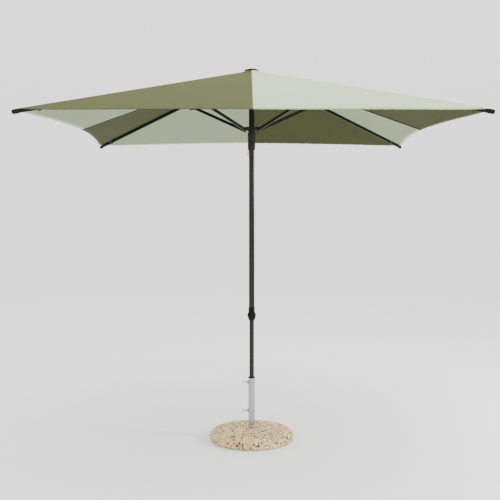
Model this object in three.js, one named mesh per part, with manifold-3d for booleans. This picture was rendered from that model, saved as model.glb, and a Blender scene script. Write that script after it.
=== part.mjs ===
// Square patio umbrella with four corner ribs, standing in a round exposed-aggregate base.
// Millimetres, +Z up, +X to the right, origin on the mast's axis where the base meets the ground.
// Every arm of the frame is drawn once along +X and turned to its corner.
import * as THREE from "three";
import { mergeVertices } from "three/addons/utils/BufferGeometryUtils.js";
import Module from "manifold-3d";

const wasm = await Module();
wasm.setup();

const DEG = Math.PI / 180;

// ---------------------------------------------------------------- driving dimensions

const GAP = 0.3; // between pieces that touch
const RUN = 0.5; // beside pieces that slide or turn

const slab = {
  radius: 280,
  height: 82, // at the middle of the dome
  belly: 21, // height of the widest place
  footInset: 18, // the foot is this much smaller all round
  squareness: 3, // exponent of the dome's profile: 2 is an ellipse
};

const anchor = {
  radius: 60,
  thickness: 4,
  recess: 4, // from the ground up to the plate
  play: 2, // round the plate
};

// The three tubes of the mast follow from the lower pole's radius.
const lowerPole = {
  radius: 16,
  wall: 1.2,
  overlap: 394, // inside the upper pole
};

const upperPole = {
  play: 1.8, // round the lower pole
  wall: 1.2,
  bottom: 846,
};

const sleeve = {
  wall: 3.9,
  length: 260.5, // inside the base tube
  flange: 7.2,
  lip: 0.9, // the flange stands this far outside the base tube
};

const baseTube = {
  wall: 1.6,
  top: 410.5,
};

const collar = {
  reach: 10.7, // of its flange beyond the base tube
  flange: 4,
  height: 13,
  wall: 2.4,
};

const wingScrew = {
  drops: [218.5, 26.5], // below the base tube's top
  radius: 5,
  length: 25, // from the tip to the wings
  hubRadius: 6.4,
  hubLength: 8,
  wingReach: 22,
  wingSpan: 23,
  wingThickness: 4,
  bossRadius: 11,
  bossLength: 9,
};

const plug = {
  flange: 3.4,
  depth: 18,
};

const bush = {
  flange: 12,
  depth: 25,
};

const clamp = {
  collarTop: 41, // above the upper pole's foot
  collarWall: 2,
  nutTop: 5, // above the upper pole's foot
  nutHeight: 52,
  nutGrip: 9.3, // how far the nut stands outside the upper pole
  lobes: 8,
  lobeRadius: 6,
  lobeDepth: 2.4,
  colletWall: 2.4,
  slit: 2,
};

const crown = {
  pivotHeight: 2457, // of the rib hinges
  standOff: 27, // of the rib hinges, and of the runner's hinges, from the upper pole
  rim: 7, // of the hub outside the hinges
  above: 9, // from the hinges up to the hub's top
  below: 7, // from the hinges down to its disc's foot
  bossFoot: 27, // from the hinges down to its boss's foot
  socketTop: 11, // from the hinges down to the pole's end
  pinGrip: 9, // of a rib's pin in the hub, on either side
  bossWall: 5,
  studRadius: 4,
  studHead: 7.5,
  studHeadHeight: 6,
  studLength: 34, // above the head
};

const cap = {
  inset: 4, // inside the hub's edge
  rim: 11,
  height: 19,
  wall: 3,
};

const rib = {
  slope: 13.15, // degrees below level with the canopy open
  width: 14,
  depth: 22,
  wall: 1.3,
  corner: 4,
  innerEnd: 8, // from the hinge back to the tube's end
  pivotRise: 6, // the hinge lies this far above the tube's middle
};

const tip = {
  wall: 1.7,
  sleeve: 28,
  nose: 12,
  flat: 1, // half of what its rounded corners leave flat on top
};

const bracket = {
  station: 600, // from the crown hinge, along the rib
  drop: 44, // of its pivot below the rib's middle
  length: 52,
  sheet: 2,
  eye: 9,
  grip: 7, // how far its cheeks reach above the rib's middle
  play: 1.3, // between a cheek and the stretcher's flat end
};

const stretcher = {
  width: 12,
  depth: 20,
  wall: 1.2,
  corner: 3,
  tongue: 6, // thickness of the flat end at the runner
  eye: 8,
  lowerSet: 17, // the tube's middle passes this far under the runner hinge
  upperSet: 17, // and this far over the bracket's hinge
  lowerStart: 8,
  upperEnd: 25,
  overlap: 20, // of the flat ends inside the tube
};

const pin = {
  radius: 2.5,
  headRadius: 4.5,
  head: 2,
};

const runner = {
  wall: 3.4,
  above: 11, // from its hinges up to its top
  neck: 28, // from its hinges down to the thick part
  body: 69.5,
  taper: 47,
  grip: 8, // how far the thick part stands outside the pole
  waistGrip: 6, // and its lower end, above the taper
  footGrip: 3.5, // and its foot
  ear: 5,
  eye: 9,
};

const trigger = {
  pivotDrop: 126.5, // below the runner's hinges
  pivotOut: 3.8, // its pivot, outer face and inner face lie this far outside the pole
  outer: 6.7,
  inner: 1.6,
  width: 12,
  above: 24, // from its pivot up
  below: 66, // from its pivot down
  thumb: 2.8, // how far the thumb pad stands out
  standOff: 2.6, // how far the lower end clears the inner face's line
  housing: 0.3, // the housing stands this far outside the lever
  housingSide: 4.6,
  pinRadius: 1.5,
  springRadius: 3,
  springTurns: 3,
  springWire: 1,
};

const canopy = {
  width: 2500, // over the rib tips
  thickness: 2,
  lift: 0.5, // over the edges of a rib's flat top
  scallop: 108, // the middle of an edge lies this far inside the line of the tips
  tuck: 5, // from a corner to the tip's sleeve
  sag: 20, // of the middle of each side below its flat
  crownEdge: 7, // of the crown piece outside the hub
  crownThickness: 1.5,
  parting: 2, // between the crown piece and the panels
};

const colours = {
  concrete: [0xcdbb9c, 0.9, 0],
  galvanised: [0xb4b7ba, 0.45, 0.8],
  darkSteel: [0x2b2c29, 0.35, 0.5],
  blackPlastic: [0x1c1c1b, 0.5, 0],
  greyPlastic: [0x2c2b29, 0.55, 0],
  zinc: [0xa9adb0, 0.4, 0.9],
  olive: [0x7f8458, 0.85, 0],
  sage: [0xcdd2bf, 0.85, 0],
};

// ---------------------------------------------------------------- worked-out places

const upperPoleRadius = lowerPole.radius + upperPole.play + upperPole.wall;
const baseTubeRadius = lowerPole.radius + RUN + sleeve.wall + GAP + baseTube.wall;
const lowerPoleTop = upperPole.bottom + lowerPole.overlap;
const polePassage = upperPoleRadius + GAP;
const hingeRadius = upperPoleRadius + crown.standOff;
const hubRadius = hingeRadius + crown.rim;
const hubTop = crown.pivotHeight + crown.above;
const bossFoot = crown.pivotHeight - crown.bossFoot;
const socketTop = crown.pivotHeight - crown.socketTop;
const crownClothRadius = hubRadius + canopy.crownEdge;
const panelStart = crownClothRadius + canopy.parting;

const ribSlope = rib.slope * DEG;
const pivotToBracket = Math.hypot(bracket.station, rib.pivotRise + bracket.drop);
const linkSlope = ribSlope + Math.atan2(rib.pivotRise + bracket.drop, bracket.station);
const runnerHeight = crown.pivotHeight - 2 * pivotToBracket * Math.sin(linkSlope);

const pinPassage = pin.radius + GAP;
const upperPoleTop = socketTop - GAP;

const tipHalfWidth = rib.width / 2 + GAP + tip.wall;
const tipHalfDepth = rib.depth / 2 + GAP + tip.wall;
const noseReach = Math.hypot(
  tip.nose * Math.cos(ribSlope),
  tipHalfWidth,
  tipHalfDepth * Math.sin(ribSlope),
);
const noseRadial = canopy.width * Math.SQRT1_2 - noseReach;
const noseStation = (noseRadial - hingeRadius + rib.pivotRise * Math.sin(ribSlope)) / Math.cos(ribSlope);
const ribEnd = noseStation - 2 * GAP;
const tipStart = noseStation - tip.sleeve;

// The cloth lies on the ribs: its flat sides meet in ridges that follow the ribs' tops.
const ridgeDrop = Math.tan(ribSlope);
const ribMiddleAtMast = crown.pivotHeight - rib.pivotRise / Math.cos(ribSlope)
  + hingeRadius * ridgeDrop;
const clothLift = canopy.lift + (rib.width / 2 - rib.corner) * ridgeDrop;
const clothAtMast = ribMiddleAtMast + rib.depth / 2 / Math.cos(ribSlope)
  + clothLift + canopy.thickness / 2;
const clothCorner = (hingeRadius + (tipStart - canopy.tuck) * Math.cos(ribSlope)) * Math.SQRT1_2;
const edgeMiddle = canopy.width / 2 - canopy.scallop;

// ---------------------------------------------------------------- tools for shapes

function solidOf(geometry) {
  const bare = geometry.index ? geometry.toNonIndexed() : geometry.clone();
  bare.deleteAttribute("normal");
  bare.deleteAttribute("uv");
  const merged = mergeVertices(bare, 1e-4);
  const mesh = new wasm.Mesh({
    numProp: 3,
    vertProperties: merged.attributes.position.array,
    triVerts: new Uint32Array(merged.index.array),
  });
  return new wasm.Manifold(mesh);
}

function geometryOf(solid) {
  const mesh = solid.getMesh();
  const geometry = new THREE.BufferGeometry();
  geometry.setAttribute("position", new THREE.BufferAttribute(mesh.vertProperties, 3));
  geometry.setIndex(new THREE.BufferAttribute(mesh.triVerts, 1));
  geometry.computeVertexNormals();
  return geometry;
}

function join(first, ...others) {
  return geometryOf(others.reduce((sum, other) => sum.add(solidOf(other)), solidOf(first)));
}

function cut(first, ...cutters) {
  return geometryOf(cutters.reduce((rest, other) => rest.subtract(solidOf(other)), solidOf(first)));
}

// A turned piece about Z, from [radius, height] points that run anticlockwise round its section.
function turned(points, segments = 32) {
  const profile = points.map(([r, z]) => new THREE.Vector2(r, z));
  return new THREE.LatheGeometry(profile, segments).rotateX(Math.PI / 2);
}

function ring(inner, outer, bottom, top, segments = 32) {
  const section = [[inner, bottom], [outer, bottom], [outer, top], [inner, top], [inner, bottom]];
  return turned(section, segments);
}

function rod(radius, bottom, top, segments = 12) {
  return turned([[0, bottom], [radius, bottom], [radius, top], [0, top]], segments);
}

function box(x0, x1, y0, y1, z0, z1) {
  const geometry = new THREE.BoxGeometry(x1 - x0, y1 - y0, z1 - z0);
  return geometry.translate((x0 + x1) / 2, (y0 + y1) / 2, (z0 + z1) / 2);
}

// A rod across the arm, along Y, through the point (x, z).
function crossRod(radius, x, z, half, segments = 12) {
  return rod(radius, -half, half, segments).rotateX(Math.PI / 2).translate(x, 0, z);
}

// A pin along Y with a head outside each cheek.
function rivet(x, z, grip) {
  const end = grip + GAP + pin.head;
  const section = [
    [0, -end],
    [pin.headRadius, -end],
    [pin.headRadius, -grip - GAP],
    [pin.radius, -grip - GAP],
    [pin.radius, grip + GAP],
    [pin.headRadius, grip + GAP],
    [pin.headRadius, end],
    [0, end],
  ];
  return turned(section, 12).rotateX(Math.PI / 2).translate(x, 0, z);
}

// A flat plate seen from the side: its outline is in (x, z) and its thickness lies along Y.
function plate(outline, thickness) {
  const settings = { depth: thickness, bevelEnabled: false, curveSegments: 4 };
  const geometry = new THREE.ExtrudeGeometry(outline, settings);
  return geometry.translate(0, 0, -thickness / 2).rotateX(Math.PI / 2);
}

function polygon(points) {
  return new THREE.Shape(points.map(([x, z]) => new THREE.Vector2(x, z)));
}

// An eye round (x, z) drawn into a flat that ends at two points, as one outline.
function eyeOutline(x, z, radius, upper, lower) {
  const towards = Math.atan2((upper[1] + lower[1]) / 2 - z, (upper[0] + lower[0]) / 2 - x);
  const points = [upper, lower];
  const steps = 6;
  for (let i = 0; i <= steps; i++) {
    const angle = towards + (90 + 180 * i / steps) * DEG;
    points.push([x + radius * Math.cos(angle), z + radius * Math.sin(angle)]);
  }
  return polygon(points);
}

function roundedRect(width, height, corner) {
  const [x, y] = [width / 2, height / 2];
  const outline = new THREE.Shape();
  outline.absarc(x - corner, y - corner, corner, 0, 90 * DEG);
  outline.absarc(corner - x, y - corner, corner, 90 * DEG, 180 * DEG);
  outline.absarc(corner - x, corner - y, corner, 180 * DEG, 270 * DEG);
  outline.absarc(x - corner, corner - y, corner, 270 * DEG, 360 * DEG);
  return outline;
}

// A bar along X with a rounded section, hollow when it has a wall.
function bar(width, depth, corner, from, to, wall = 0) {
  const outline = roundedRect(width, depth, corner);
  if (wall > 0) {
    outline.holes.push(roundedRect(width - 2 * wall, depth - 2 * wall, corner - wall));
  }
  const settings = { depth: to - from, bevelEnabled: false, curveSegments: 2 };
  const alongX = new THREE.Matrix4().makeBasis(
    new THREE.Vector3(0, 1, 0),
    new THREE.Vector3(0, 0, 1),
    new THREE.Vector3(1, 0, 0),
  );
  return new THREE.ExtrudeGeometry(outline, settings).applyMatrix4(alongX).translate(from, 0, 0);
}

const umbrella = new THREE.Group();

function add(name, geometry, [color, roughness, metalness], parent = umbrella) {
  const material = new THREE.MeshStandardMaterial({ color, roughness, metalness });
  const mesh = new THREE.Mesh(geometry, material);
  mesh.name = name;
  parent.add(mesh);
  return mesh;
}

// ---------------------------------------------------------------- base

function slabBody() {
  const recess = anchor.recess + anchor.thickness + GAP;
  const bore = baseTubeRadius + GAP;
  const foot = slab.radius - slab.footInset;
  const well = anchor.radius + anchor.play;
  const points = [[well, 0], [foot, 0]];
  const undercut = 3;
  for (let i = 1; i <= undercut; i++) {
    const angle = (90 * i / undercut) * DEG;
    points.push([foot + slab.footInset * Math.sin(angle), slab.belly * (1 - Math.cos(angle))]);
  }
  const dome = 8;
  const power = 2 / slab.squareness;
  for (let i = 1; i <= dome; i++) {
    const angle = (i / dome) * 90 * DEG;
    const radius = slab.radius * Math.cos(angle) ** power;
    const height = slab.belly + (slab.height - slab.belly) * Math.sin(angle) ** power;
    points.push([Math.max(radius, bore), height]);
  }
  points.push([bore, recess], [well, recess], [well, 0]);
  return turned(points, 48);
}

function buildBase() {
  add("base_slab", slabBody(), colours.concrete);

  const plateTop = anchor.recess + anchor.thickness;
  add("anchor_plate", rod(anchor.radius, anchor.recess, plateTop, 40), colours.galvanised);

  const screwHeights = wingScrew.drops.map((drop) => baseTube.top - drop);
  const passages = screwHeights.map((z) => screwPassage(z));
  const tube = ring(baseTubeRadius - baseTube.wall, baseTubeRadius, plateTop + GAP, baseTube.top);
  add("base_tube", cut(tube, ...passages), colours.galvanised);

  const foot = slab.height + GAP;
  const bore = baseTubeRadius + GAP;
  const flangeRadius = baseTubeRadius + collar.reach;
  const section = [
    [bore, foot],
    [flangeRadius, foot],
    [flangeRadius, foot + collar.flange / 2],
    [flangeRadius - collar.flange / 2, foot + collar.flange],
    [bore + collar.wall + 1, foot + collar.flange + 1],
    [bore + collar.wall, foot + collar.height],
    [bore, foot + collar.height],
    [bore, foot],
  ];
  add("tube_collar", turned(section, 32), colours.galvanised);

  screwHeights.forEach((z, i) => {
    const place = i === 0 ? "lower" : "upper";
    add(place + "_screw_boss", screwBoss(z), colours.galvanised);
    add(place + "_wing_screw", screwBody(z), colours.zinc);
  });
}

// The clamp screws stand on the -X side; these are drawn along +Z and laid down onto -X.
function ontoSide(geometry, z) {
  return geometry.rotateY(-90 * DEG).translate(0, 0, z);
}

function screwPassage(z) {
  const reach = baseTubeRadius + wingScrew.bossLength;
  return ontoSide(rod(wingScrew.radius + GAP, baseTubeRadius / 2, 2 * reach), z);
}

function screwBoss(z) {
  const outer = baseTubeRadius + wingScrew.bossLength;
  const nut = ontoSide(rod(wingScrew.bossRadius, baseTubeRadius / 2, outer, 6), z);
  const saddle = rod(baseTubeRadius + GAP, z - 2 * wingScrew.bossRadius, z + 2 * wingScrew.bossRadius, 32);
  return cut(nut, saddle, screwPassage(z));
}

function screwBody(z) {
  const tipAt = baseTubeRadius - baseTube.wall + GAP;
  const hubAt = tipAt + wingScrew.length;
  const hubEnd = hubAt + wingScrew.hubLength;
  const section = [
    [0, tipAt],
    [wingScrew.radius - 1, tipAt],
    [wingScrew.radius, tipAt + 1],
    [wingScrew.radius, hubAt],
    [wingScrew.hubRadius, hubAt],
    [wingScrew.hubRadius, hubEnd],
    [0, hubEnd],
  ];
  const half = wingScrew.wingSpan / 2;
  const far = hubAt + wingScrew.wingReach;
  const wings = new THREE.Shape();
  wings.moveTo(-hubAt - 1, 3);
  wings.quadraticCurveTo(-hubAt - 6, half * 0.55, -hubEnd - 2, half * 0.95);
  wings.quadraticCurveTo(-far + 3, half + 1, -far, half - 1);
  wings.quadraticCurveTo(-far - 1, half * 0.5, -hubEnd - 5, 3);
  wings.quadraticCurveTo(-hubEnd - 3, 0, -hubEnd - 5, -3);
  wings.quadraticCurveTo(-far - 1, -half * 0.5, -far, 1 - half);
  wings.quadraticCurveTo(-far + 3, -half - 1, -hubEnd - 2, -half * 0.95);
  wings.quadraticCurveTo(-hubAt - 6, -half * 0.55, -hubAt - 1, -3);
  const blade = plate(wings, wingScrew.wingThickness).translate(0, 0, z);
  return join(ontoSide(turned(section, 16), z), blade);
}

// ---------------------------------------------------------------- mast

function buildMast() {
  const sleeveBore = lowerPole.radius + RUN;
  const sleeveOuter = sleeveBore + sleeve.wall;
  const sleeveFoot = baseTube.top - sleeve.length;
  const flangeRadius = baseTubeRadius + sleeve.lip;
  const flangeFoot = baseTube.top + GAP;
  const sleeveSection = [
    [sleeveBore, sleeveFoot],
    [sleeveOuter, sleeveFoot],
    [sleeveOuter, flangeFoot],
    [flangeRadius, flangeFoot],
    [flangeRadius, flangeFoot + sleeve.flange - 1],
    [flangeRadius - 1, flangeFoot + sleeve.flange],
    [sleeveBore, flangeFoot + sleeve.flange],
    [sleeveBore, sleeveFoot],
  ];
  add("reducer_sleeve", turned(sleeveSection), colours.blackPlastic);

  const poleBore = lowerPole.radius - lowerPole.wall;
  const plugFoot = anchor.recess + anchor.thickness + 2 * GAP;
  const poleFoot = plugFoot + plug.flange + GAP;
  add("lower_pole", ring(poleBore, lowerPole.radius, poleFoot, lowerPoleTop), colours.darkSteel);
  const plugBody = join(
    rod(lowerPole.radius, plugFoot, plugFoot + plug.flange, 32),
    rod(poleBore - GAP, plugFoot, poleFoot + plug.depth, 32),
  );
  add("lower_pole_plug", plugBody, colours.blackPlastic);

  const bushFoot = lowerPoleTop + GAP;
  const bushRadius = upperPoleRadius - upperPole.wall - RUN;
  const bushBody = join(
    rod(bushRadius, bushFoot, bushFoot + bush.flange, 32),
    rod(poleBore - GAP, lowerPoleTop - bush.depth, bushFoot + bush.flange, 32),
  );
  add("pole_guide_bush", bushBody, colours.blackPlastic);

  const upperBore = upperPoleRadius - upperPole.wall;
  add("upper_pole", ring(upperBore, upperPoleRadius, upperPole.bottom, upperPoleTop), colours.darkSteel);
}

function buildClamp() {
  const nutTop = upperPole.bottom + clamp.nutTop;
  const nutFoot = nutTop - clamp.nutHeight;
  const nutRadius = upperPoleRadius + clamp.nutGrip;
  const collarRadius = polePassage + clamp.collarWall;
  const collarFoot = nutTop + GAP;
  const collarTop = upperPole.bottom + clamp.collarTop;
  const collarSection = [
    [polePassage, collarFoot],
    [collarRadius, collarFoot],
    [collarRadius, collarTop - 3],
    [collarRadius - 1.4, collarTop],
    [polePassage, collarTop],
    [polePassage, collarFoot],
  ];
  add("clamp_collar", turned(collarSection), colours.blackPlastic);

  const colletBore = lowerPole.radius + GAP;
  const colletTop = upperPole.bottom - GAP;
  const colletFoot = nutFoot + 6;
  const collet = ring(colletBore, colletBore + clamp.colletWall, colletFoot, colletTop);
  const slit = box(-clamp.slit / 2, clamp.slit / 2, 0, 2 * colletBore, colletFoot - 1, colletTop + 1);
  add("clamp_collet", cut(collet, slit), colours.greyPlastic);

  const mouth = lowerPole.radius + RUN;
  const chamber = upperPoleRadius + RUN;
  const height = clamp.nutHeight;
  // The nut swells from its mouth to a grip that is widest from half its height to three quarters.
  const nutSection = [
    [mouth, nutFoot],
    [mouth + 3, nutFoot],
    [nutRadius - 3, nutFoot + height * 0.3],
    [nutRadius, nutFoot + height * 0.52],
    [nutRadius, nutFoot + height * 0.78],
    [nutRadius - 2, nutFoot + height * 0.9],
    [chamber + 2.5, nutTop],
    [chamber, nutTop],
    [chamber, nutFoot + 5],
    [mouth, nutFoot + 3],
    [mouth, nutFoot],
  ];
  const hollowAt = nutRadius + clamp.lobeRadius - clamp.lobeDepth;
  const hollows = [];
  for (let i = 0; i < clamp.lobes; i++) {
    const hollow = rod(clamp.lobeRadius, nutFoot + height * 0.2, nutTop + 1, 12);
    hollows.push(hollow.translate(hollowAt, 0, 0).rotateZ((2 * Math.PI * (i + 0.5)) / clamp.lobes));
  }
  add("clamp_nut", cut(turned(nutSection), ...hollows), colours.blackPlastic);
}

// ---------------------------------------------------------------- crown

function corners(build) {
  for (let i = 0; i < 4; i++) {
    build(i + 1, (45 + 90 * i) * DEG);
  }
}

function buildCrown() {
  const bossRadius = polePassage + crown.bossWall;
  const slotHalf = rib.width / 2 + RUN;
  const slotStart = bossRadius + RUN;
  const disc = rod(hubRadius, crown.pivotHeight - crown.below, hubTop, 32);
  const boss = rod(bossRadius, bossFoot, hubTop, 32);
  const cutters = [
    rod(polePassage, bossFoot - 1, socketTop, 32),
    rod(crown.studRadius + GAP, socketTop - 1, hubTop + 1),
  ];
  corners((number, azimuth) => {
    const slot = box(slotStart, 2 * hubRadius, -slotHalf, slotHalf, bossFoot, hubTop + 1);
    cutters.push(slot.rotateZ(azimuth));
    const hole = crossRod(pinPassage, hingeRadius, crown.pivotHeight, pinHalf() + GAP);
    cutters.push(hole.rotateZ(azimuth));
  });
  add("crown_hub", cut(join(disc, boss), ...cutters), colours.blackPlastic);

  const headFoot = upperPoleTop - crown.studHeadHeight;
  const stud = join(
    rod(crown.studHead, headFoot, upperPoleTop, 6),
    rod(crown.studRadius, headFoot, upperPoleTop + crown.studLength),
  );
  add("crown_stud", stud, colours.zinc);

  const clothFoot = hubTop + RUN;
  const clothTop = clothFoot + canopy.crownThickness;
  const hole = crown.studRadius + GAP;
  const skirt = clothAtMast - crownClothRadius * ridgeDrop + GAP;
  const shoulder = hubRadius + GAP;
  const clothSection = [
    [hole, clothFoot],
    [shoulder, clothFoot],
    [crownClothRadius - canopy.crownThickness, skirt],
    [crownClothRadius, skirt],
    [shoulder + canopy.crownThickness, clothTop],
    [hole, clothTop],
    [hole, clothFoot],
  ];
  add("canopy_crown", turned(clothSection), colours.olive);

  add("top_cap", capBody(clothTop + GAP), colours.blackPlastic);
}

// Half the length of the pin that carries a rib in the crown hub.
function pinHalf() {
  return rib.width / 2 + RUN + crown.pinGrip;
}

function capBody(foot) {
  const capRadius = hubRadius - cap.inset;
  const top = foot + cap.height;
  const domeFoot = foot + cap.rim;
  const bore = crown.studRadius + GAP;
  const studTop = upperPoleTop + crown.studLength + GAP;
  const points = [[0, studTop], [bore, studTop], [bore, foot], [bore + 4, foot]];
  points.push([bore + 4, top - 2 * cap.wall], [capRadius - 3 * cap.wall, foot + cap.rim]);
  points.push([capRadius - cap.wall, foot], [capRadius, foot]);
  const steps = 5;
  for (let i = 0; i <= steps; i++) {
    const share = i / steps;
    points.push([capRadius * (1 - share), domeFoot + (top - domeFoot) * (1 - (1 - share) ** 2)]);
  }
  return turned(points, 32);
}

// ---------------------------------------------------------------- ribs, brackets and tips

function ribTube() {
  const tube = bar(rib.width, rib.depth, rib.corner, -rib.innerEnd, ribEnd, rib.wall)
    .translate(0, 0, -rib.pivotRise);
  return cut(tube, crossRod(pinPassage, 0, 0, rib.width));
}

function bracketBody() {
  const middle = -rib.pivotRise;
  const pivot = middle - bracket.drop;
  const inner = rib.width / 2 + GAP;
  const outer = inner + bracket.sheet;
  const webTop = middle - rib.depth / 2 - GAP;
  const half = bracket.length / 2;
  const outline = new THREE.Shape();
  outline.moveTo(bracket.station + half, webTop - bracket.sheet);
  outline.lineTo(bracket.station + half, middle + bracket.grip);
  outline.lineTo(bracket.station - half, middle + bracket.grip);
  outline.lineTo(bracket.station - half, webTop - bracket.sheet);
  outline.absarc(bracket.station, pivot, bracket.eye, 200 * DEG, 340 * DEG);
  const above = box(0, 2 * bracket.station, -inner, inner, webTop, rib.depth);
  const below = box(0, 2 * bracket.station, -inner, inner, 2 * pivot, webTop - bracket.sheet);
  const hole = crossRod(pinPassage, bracket.station, pivot, 2 * outer);
  return cut(plate(outline, 2 * outer), above, below, hole);
}

function tipBody() {
  const corner = tipHalfWidth - tip.flat;
  const sleeveBar = bar(2 * tipHalfWidth, 2 * tipHalfDepth, corner, tipStart, noseStation);
  const nose = new THREE.SphereGeometry(1, 12, 8).rotateX(Math.PI / 2)
    .scale(tip.nose, tipHalfWidth, tipHalfDepth)
    .translate(noseStation, 0, 0);
  const pocket = bar(rib.width + 2 * GAP, rib.depth + 2 * GAP, rib.corner + GAP, tipStart - 1, ribEnd + GAP);
  return cut(join(sleeveBar, nose), pocket).translate(0, 0, -rib.pivotRise);
}

function buildRibs() {
  corners((number, azimuth) => {
    const arm = new THREE.Group();
    arm.rotation.z = azimuth;
    umbrella.add(arm);
    const hinge = new THREE.Group();
    hinge.position.set(hingeRadius, 0, crown.pivotHeight);
    hinge.rotation.y = ribSlope;
    arm.add(hinge);
    const name = "rib_" + number;
    add(name, ribTube(), colours.darkSteel, hinge);
    add(name + "_bracket", bracketBody(), colours.darkSteel, hinge);
    const grip = rib.width / 2 + GAP + bracket.sheet;
    const rivetBody = rivet(bracket.station, -rib.pivotRise - bracket.drop, grip);
    add(name + "_bracket_pin", rivetBody, colours.zinc, hinge);
    add(name + "_tip", tipBody(), colours.blackPlastic, hinge);
    add(name + "_crown_pin", crossRod(pin.radius, 0, 0, pinHalf()), colours.zinc, hinge);
    add("canopy_" + number + "_olive", clothPanel(1), colours.olive, arm);
    add("canopy_" + number + "_sage", clothPanel(-1), colours.sage, arm);
  });
}

// ---------------------------------------------------------------- canopy panels

// Distance from the mast to the cloth's edge, square to that side of the canopy, where share
// runs from 0 at the middle of the side to 1 at the corner.
function edgeReach(share) {
  const nip = canopy.width / 2 - clothCorner;
  return edgeMiddle + canopy.scallop * share ** 2 - nip * share ** 24;
}

function clothHeight(reach, share) {
  const flat = clothAtMast - reach * Math.SQRT2 * ridgeDrop;
  const fullness = (reach / edgeMiddle) ** 2 * (1 - share ** 2);
  return flat - canopy.sag * fullness;
}

// One panel from the rib (share 1) to the seam at the middle of a side (share 0). It is
// drawn with its rib along +X; side is 1 for the panel to the left of the rib, -1 to the right.
function clothPanel(side) {
  const [alongs, acrosses] = [4, 8];
  const positions = [];
  const shift = 0.5 / Math.sin(22.5 * DEG) * GAP;
  for (const face of [1, -1]) {
    for (let i = 0; i <= alongs; i++) {
      for (let j = 0; j <= acrosses; j++) {
        const share = j / acrosses;
        const reach = panelStart + (edgeReach(share) - panelStart) * (i / alongs);
        const x = (reach + share * reach) * Math.SQRT1_2 + shift * Math.cos(22.5 * DEG);
        const y = (reach - share * reach) * Math.SQRT1_2 + shift * Math.sin(22.5 * DEG);
        const z = clothHeight(reach, share) + face * canopy.thickness / 2;
        positions.push(x, side * y, z);
      }
    }
  }
  const row = acrosses + 1;
  const sheet = row * (alongs + 1);
  const index = [];
  const quad = (a, b, c, d) => index.push(a, b, c, a, c, d);
  for (let i = 0; i < alongs; i++) {
    for (let j = 0; j < acrosses; j++) {
      const a = i * row + j;
      quad(a, a + 1, a + row + 1, a + row);
      quad(sheet + a, sheet + a + row, sheet + a + row + 1, sheet + a + 1);
    }
  }
  for (let j = 0; j < acrosses; j++) {
    const far = alongs * row + j;
    quad(j, sheet + j, sheet + j + 1, j + 1);
    quad(far + 1, sheet + far + 1, sheet + far, far);
  }
  for (let i = 0; i < alongs; i++) {
    const near = i * row;
    const far = near + acrosses;
    quad(near + row, sheet + near + row, sheet + near, near);
    quad(far, sheet + far, sheet + far + row, far + row);
  }
  if (side < 0) {
    index.reverse();
  }
  const geometry = new THREE.BufferGeometry();
  geometry.setAttribute("position", new THREE.Float32BufferAttribute(positions, 3));
  geometry.setIndex(index);
  geometry.computeVertexNormals();
  return geometry;
}

// ---------------------------------------------------------------- stretchers

function stretcherBody() {
  const length = pivotToBracket;
  const rise = stretcher.lowerSet + stretcher.upperSet;
  const tilt = Math.atan2(rise, length);
  const tubeStart = stretcher.lowerStart;
  const tubeEnd = length - stretcher.upperEnd;
  const middleAt = (x) => -stretcher.lowerSet + (rise * x) / length;
  const tube = bar(stretcher.width, stretcher.depth, stretcher.corner, tubeStart, tubeEnd, stretcher.wall)
    .rotateY(-tilt)
    .translate(0, 0, -stretcher.lowerSet);
  const hold = stretcher.depth / 2 - stretcher.wall / 2;
  const lowerIn = tubeStart + stretcher.overlap;
  const upperIn = tubeEnd - stretcher.overlap;
  const lowerTongue = plate(eyeOutline(
    0, 0, stretcher.eye,
    [lowerIn, middleAt(lowerIn) - hold],
    [lowerIn, middleAt(lowerIn) + hold],
  ), stretcher.tongue);
  const upperTongue = plate(eyeOutline(
    length, 0, stretcher.eye,
    [upperIn, middleAt(upperIn) + hold],
    [upperIn, middleAt(upperIn) - hold],
  ), rib.width + 2 * GAP - 2 * bracket.play);
  const hole = (x) => crossRod(pinPassage, x, 0, rib.width);
  return cut(join(tube, lowerTongue, upperTongue), hole(0), hole(length));
}

function buildStretchers() {
  corners((number, azimuth) => {
    const arm = new THREE.Group();
    arm.rotation.z = azimuth;
    umbrella.add(arm);
    const hinge = new THREE.Group();
    hinge.position.set(hingeRadius, 0, runnerHeight);
    hinge.rotation.y = -linkSlope;
    arm.add(hinge);
    add("stretcher_" + number, stretcherBody(), colours.darkSteel, hinge);
    const grip = stretcher.tongue / 2 + RUN + runner.ear;
    add("runner_pin_" + number, rivet(0, 0, grip), colours.zinc, hinge);
  });
}

// ---------------------------------------------------------------- runner and its release trigger

const triggerPivot = runnerHeight - trigger.pivotDrop;
const triggerPivotRadius = upperPoleRadius + trigger.pivotOut;
const triggerOuter = upperPoleRadius + trigger.outer;
const triggerInner = upperPoleRadius + trigger.inner;

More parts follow.
